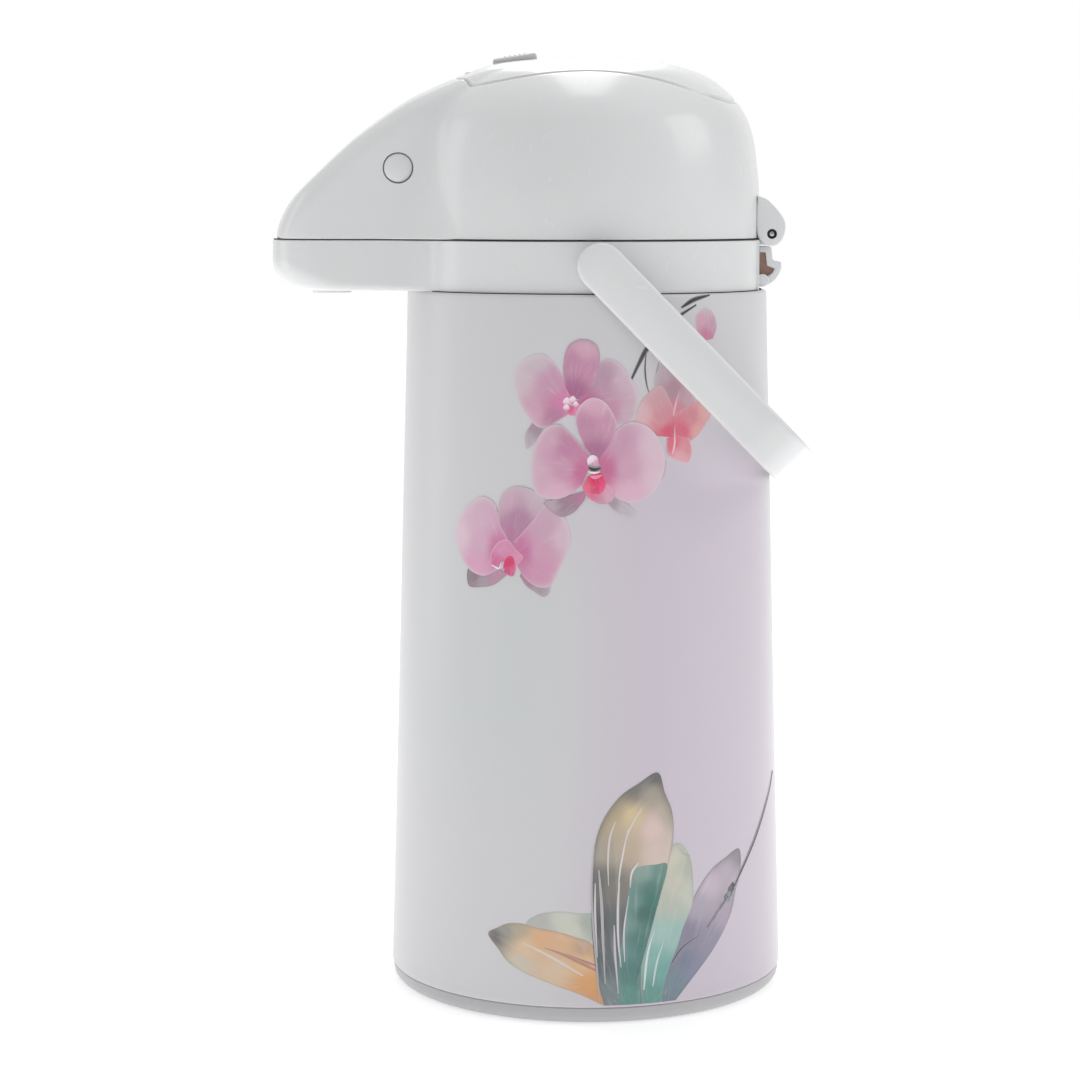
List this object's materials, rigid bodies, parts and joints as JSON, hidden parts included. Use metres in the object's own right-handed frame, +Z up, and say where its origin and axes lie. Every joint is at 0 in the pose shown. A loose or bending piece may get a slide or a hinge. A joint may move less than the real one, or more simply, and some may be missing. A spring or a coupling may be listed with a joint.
{
  "type": "pump pot",
  "caption": "Tall tapered vacuum pump pot with a domed push-plate lid, a wedge spout nose, a swinging carrying handle and a printed flower jacket.",
  "frame": {"origin": "on the body's axis, on the surface that the pot stands on", "axes": "+Z up; the spout points along -Y, the lid's hinge is at +Y, and x = 0 is the mirror plane"},
  "size_m": [0.1544, 0.2092, 0.3622],
  "materials": {
    "printed_steel": "satin white lacquer with a printed orchid pattern",
    "white_plastic": "smooth white moulded plastic",
    "grey_plastic": "fine matt grey",
    "inner_plastic": "natural milky plastic",
    "rubber": "soft grey silicone rubber",
    "silvered_glass": "silvered glass",
    "steel": "plain stainless steel"
  },
  "bodies": {
    "pot": {"outer_shell": "printed_steel", "base_ring": "white_plastic", "base_cap": "white_plastic", "liner_cushion": "rubber", "glass_outer_bottle": "silvered_glass", "glass_inner_bottle": "silvered_glass", "liner_spacers": "rubber", "neck_gasket": "rubber", "collar": "white_plastic", "mouth_ring": "inner_plastic", "tube_holder": "inner_plastic", "siphon_tube": "inner_plastic", "tube_foot": "inner_plastic", "outlet_pipe": "steel", "nozzle": "white_plastic", "hinge_pin": "steel", "lever_pin": "steel"},
    "lid": {"lid_cover": "white_plastic", "lid_base": "white_plastic", "lid_gasket": "rubber", "air_valve": "rubber", "lid_screws": "steel", "bellows_seat": "inner_plastic", "bellows": "inner_plastic", "bellows_spring": "steel", "latch_spring_left": "steel", "latch_spring_right": "steel"},
    "press": {"press_plate": "white_plastic", "bellows_cap": "inner_plastic", "vent_valve": "rubber"},
    "lock": {"lock_knob": "grey_plastic"},
    "button_left": {"release_button_left": "white_plastic", "latch_left": "inner_plastic"},
    "button_right": {"release_button_right": "white_plastic", "latch_right": "inner_plastic"},
    "handle": {"handle": "white_plastic", "handle_stud_left": "steel", "handle_stud_right": "steel", "handle_washer_left": "inner_plastic", "handle_washer_right": "inner_plastic", "handle_clip_left": "steel", "handle_clip_right": "steel"},
    "lever": {"detach_lever": "white_plastic"}
  },
  "joints": [
    {"name": "lid_hinge", "type": "hinge", "parent": "pot", "child": "lid", "pos_m": [0, 0.0705, 0.293], "axis": [-1, 0, 0], "range_deg": [0, 95]},
    {"name": "press_slide", "type": "slide", "parent": "lid", "child": "press", "axis": [0, 0, -1], "range_m": [0, 0.022], "stiffness_N_per_m": 300, "springref_m": -0.012, "deforming": ["bellows", "bellows_spring"]},
    {"name": "lock_slide", "type": "slide", "parent": "press", "child": "lock", "axis": [0, -0.9877, -0.1564], "range_m": [0, 0.008]},
    {"name": "release_left", "type": "slide", "parent": "lid", "child": "button_left", "axis": [1, 0, 0], "range_m": [0, 0.003], "stiffness_N_per_m": 400, "springref_m": -0.002, "deforming": ["latch_spring_left"]},
    {"name": "release_right", "type": "slide", "parent": "lid", "child": "button_right", "axis": [-1, 0, 0], "range_m": [0, 0.003], "stiffness_N_per_m": 400, "springref_m": -0.002, "deforming": ["latch_spring_right"]},
    {"name": "handle_swing", "type": "hinge", "parent": "pot", "child": "handle", "pos_m": [0, 0.004, 0.2819], "axis": [1, 0, 0], "range_deg": [0, 185]},
    {"name": "lever_hinge", "type": "hinge", "parent": "pot", "child": "lever", "pos_m": [0, 0.0674, 0.2752], "axis": [-1, 0, 0], "range_deg": [0, 12], "stiffness_Nm_per_rad": 0.03, "springref_deg": -11.46}
  ]
}
